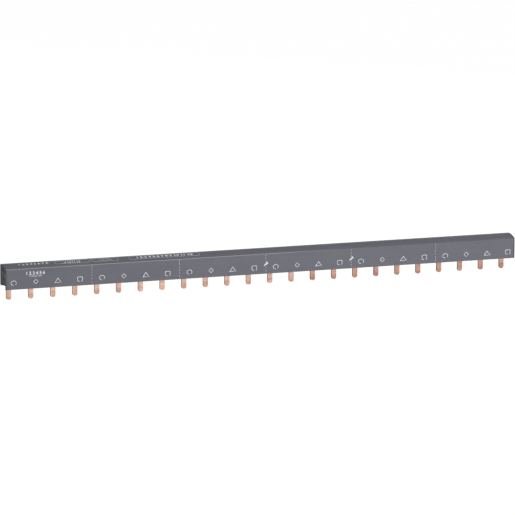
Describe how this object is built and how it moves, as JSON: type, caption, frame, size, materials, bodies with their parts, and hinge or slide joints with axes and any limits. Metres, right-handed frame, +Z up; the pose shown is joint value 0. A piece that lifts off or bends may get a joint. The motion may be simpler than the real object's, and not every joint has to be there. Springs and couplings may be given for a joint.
{
  "type": "comb busbar",
  "caption": "Straight insulated comb busbar for a row of modular devices: copper tabs in line under a slim grey cover, marked with phase symbols.",
  "frame": {"origin": "middle of the tab row, on the tabs' mid-plane, level with the face where the tabs leave the cover", "axes": "+X along the bar from the circle end to the square end, +Y to the rear, +Z up and away from the tab tips"},
  "size_m": [0.4268, 0.0152, 0.0289],
  "materials": {
    "cover": "matt extruded plastic, blue-grey",
    "cap": "matt moulded plastic, blue-grey",
    "floor": "matt moulded plastic, dark grey",
    "copper": "bare rolled copper, softly polished",
    "print": "thin matt white print",
    "separator": "matt extruded plastic, mid grey"
  },
  "bodies": {
    "root": {"housing": "cover", "end_cap_left": "cap", "end_cap_right": "cap", "base_strip": "floor", "bar_circle": "copper", "bar_diamond": "copper", "bar_triangle": "copper", "bar_square": "copper", "separator_1": "separator", "separator_2": "separator", "separator_3": "separator"}
  },
  "joints": []
}
